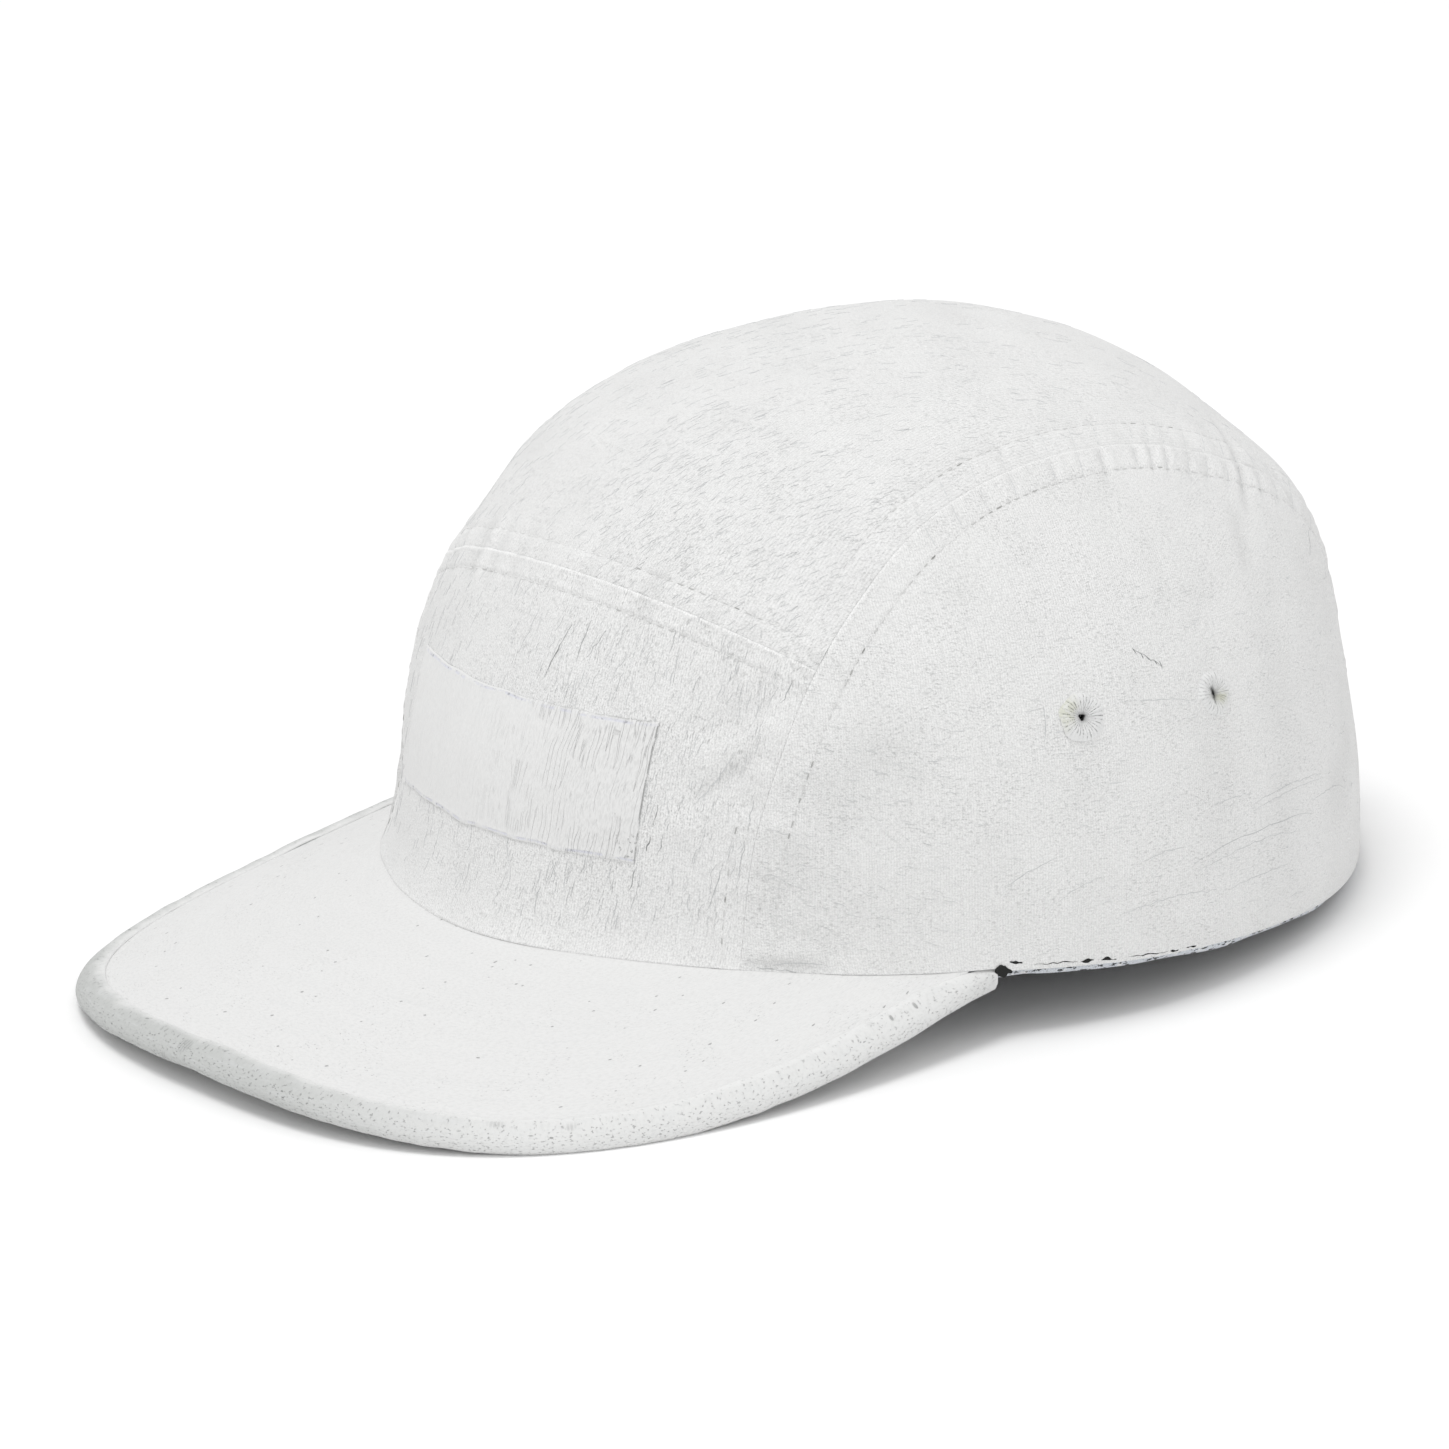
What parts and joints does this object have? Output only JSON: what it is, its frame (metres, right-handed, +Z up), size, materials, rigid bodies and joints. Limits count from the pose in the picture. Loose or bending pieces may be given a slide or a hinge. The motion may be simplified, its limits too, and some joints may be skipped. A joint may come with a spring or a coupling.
{
  "type": "camp cap",
  "caption": "Low-crowned cloth cap with a flat front panel, long top panel, round side panels, a broad arched peak with a rolled edge, sewn eyelets and a strap-back opening.",
  "frame": {"origin": "middle of the cap's footprint, on the surface that it rests on", "axes": "+Z up, -Y towards the front of the peak, +X towards the wearer's left"},
  "size_m": [0.1818, 0.2596, 0.1107],
  "materials": {
    "painted_cloth": "matte off-white cloth brushed with thin white paint",
    "patch_cloth": "matte off-white cloth",
    "peak_cloth": "matte off-white cloth over a stiff board",
    "peak_edge_cloth": "matte light grey rolled cloth",
    "sweatband_cloth": "matte blue-grey cloth",
    "webbing": "matte off-white webbing",
    "eyelet_thread": "satin off-white stitching",
    "buckle_plastic": "matte off-white plastic"
  },
  "bodies": {
    "root": {"front_panel": "painted_cloth", "top_panel": "painted_cloth", "side_panel_left": "painted_cloth", "side_panel_right": "painted_cloth", "patch": "patch_cloth", "peak": "peak_cloth", "peak_edge": "peak_edge_cloth", "sweatband": "sweatband_cloth", "strap": "webbing", "buckle": "buckle_plastic", "eyelet_left_front": "eyelet_thread", "eyelet_left_rear": "eyelet_thread", "eyelet_right_front": "eyelet_thread", "eyelet_right_rear": "eyelet_thread"}
  },
  "joints": []
}
